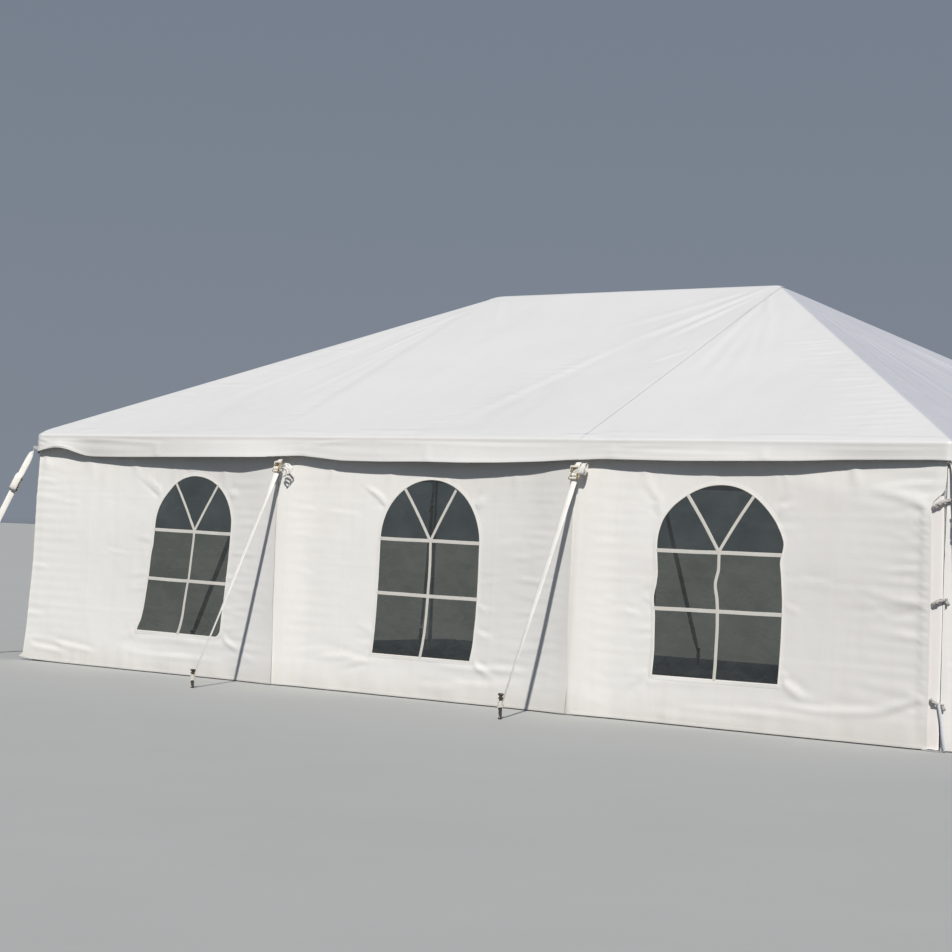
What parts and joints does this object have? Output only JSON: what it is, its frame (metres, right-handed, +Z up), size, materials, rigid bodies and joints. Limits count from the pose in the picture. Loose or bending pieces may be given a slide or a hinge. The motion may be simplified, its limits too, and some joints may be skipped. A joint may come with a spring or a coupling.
{
  "type": "marquee tent (20 ft x 30 ft frame tent)",
  "caption": "Frame marquee tent: hipped white vinyl roof with valance, side walls with arched clear windows, aluminium tube frame, and ratchet guy straps to ground stakes.",
  "frame": {"origin": "centre of the plan at ground level", "axes": "+X along the length, to the right as seen from the front; -Y towards the front with its three windows; +Z up"},
  "size_m": [10.877, 8.042, 3.6543],
  "materials": {
    "frame_aluminium": "satin mill finish tube and cast fittings",
    "roof_vinyl": "white vinyl-coated polyester, semi-matt, soft creases",
    "wall_vinyl": "white vinyl side wall, semi-matt, soft ripples",
    "window_vinyl": "clear glossy vinyl film, slightly wavy",
    "strap_webbing": "off-white polyester webbing"
  },
  "bodies": {
    "root": {"crown_fitting_left": "frame_aluminium", "crown_fitting_right": "frame_aluminium", "eave_rail_back": "frame_aluminium", "eave_rail_front": "frame_aluminium", "eave_rail_left": "frame_aluminium", "eave_rail_right": "frame_aluminium", "guy_back_left": "strap_webbing", "guy_back_mid_left": "strap_webbing", "guy_back_mid_right": "strap_webbing", "guy_back_right": "strap_webbing", "guy_front_left": "strap_webbing", "guy_front_mid_left": "strap_webbing", "guy_front_mid_right": "strap_webbing", "guy_front_right": "strap_webbing", "guy_left_end": "strap_webbing", "guy_right_end": "strap_webbing", "hip_back_left": "frame_aluminium", "hip_back_right": "frame_aluminium", "hip_front_left": "frame_aluminium", "hip_front_right": "frame_aluminium", "leg_back_left": "frame_aluminium", "leg_back_mid_left": "frame_aluminium", "leg_back_mid_right": "frame_aluminium", "leg_back_right": "frame_aluminium", "leg_front_left": "frame_aluminium", "leg_front_mid_left": "frame_aluminium", "leg_front_mid_right": "frame_aluminium", "leg_front_right": "frame_aluminium", "leg_left_end": "frame_aluminium", "leg_right_end": "frame_aluminium", "rafter_back_left": "frame_aluminium", "rafter_back_right": "frame_aluminium", "rafter_front_left": "frame_aluminium", "rafter_front_right": "frame_aluminium", "rafter_left_end": "frame_aluminium", "rafter_right_end": "frame_aluminium", "ridge_beam": "frame_aluminium", "roof_back": "roof_vinyl", "roof_front": "roof_vinyl", "roof_left_end": "roof_vinyl", "roof_right_end": "roof_vinyl", "valance_back": "roof_vinyl", "valance_front": "roof_vinyl", "valance_left": "roof_vinyl", "valance_right": "roof_vinyl", "wall_end_back": "wall_vinyl", "wall_end_front": "wall_vinyl", "wall_front_left": "wall_vinyl", "wall_front_middle": "wall_vinyl", "wall_front_right": "wall_vinyl", "window_end_back": "window_vinyl", "window_end_front": "window_vinyl", "window_front_left": "window_vinyl", "window_front_middle": "window_vinyl", "window_front_right": "window_vinyl"}
  },
  "joints": []
}
